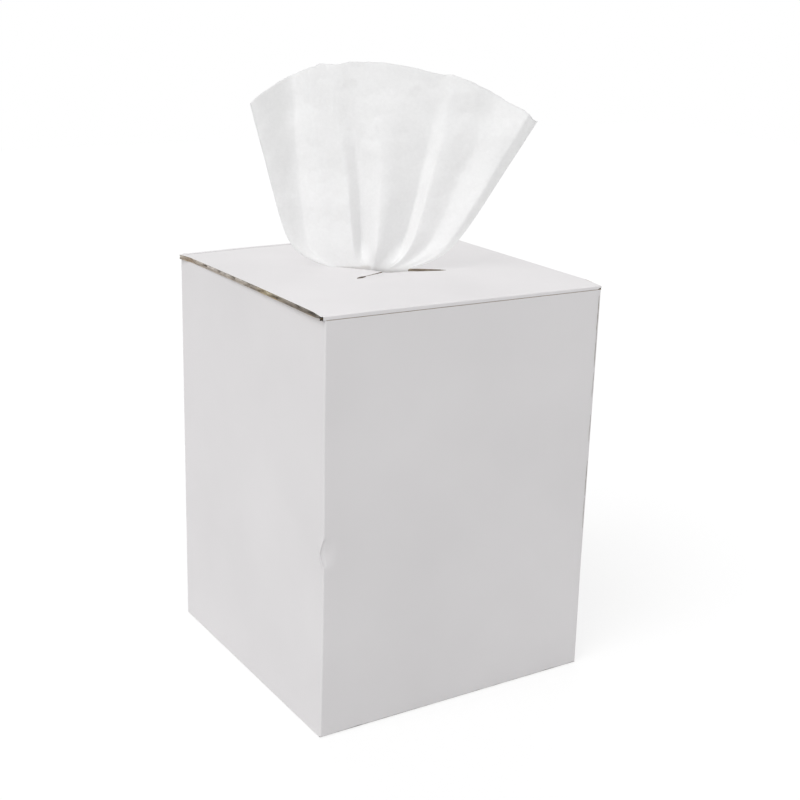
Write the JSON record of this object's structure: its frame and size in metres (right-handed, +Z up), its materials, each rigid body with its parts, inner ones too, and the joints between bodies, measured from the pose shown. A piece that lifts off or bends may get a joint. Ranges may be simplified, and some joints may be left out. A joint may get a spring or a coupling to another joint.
{
  "type": "box of industrial wipes",
  "caption": "Tall square corrugated dispenser box of white wipes, with a hinged lid, an X-shaped slit and one wipe pulled up out of it.",
  "frame": {"origin": "centre of the carton's base, on the surface that it stands on", "axes": "+Z up, +X to the right along the front wall, -Y out of the front wall; the lid's crease runs along X at the top of the back wall"},
  "size_m": [0.2305, 0.229, 0.455],
  "materials": {
    "white_board": "smooth white-lined corrugated board, brown inside its cut edges",
    "wound_wipes": "soft white non-woven, wound in turns",
    "wipe_cloth": "soft matt white non-woven sheet, slightly see-through"
  },
  "bodies": {
    "carton": {"carton": "white_board", "wipe_roll": "wound_wipes"},
    "lid": {"lid": "white_board", "pulled_wipe": "wipe_cloth"}
  },
  "joints": [
    {"name": "lid_hinge", "type": "hinge", "parent": "carton", "child": "lid", "pos_m": [0, 0.1145, 0.30185], "axis": [-1, 0, 0], "range_deg": [0, 180]}
  ]
}
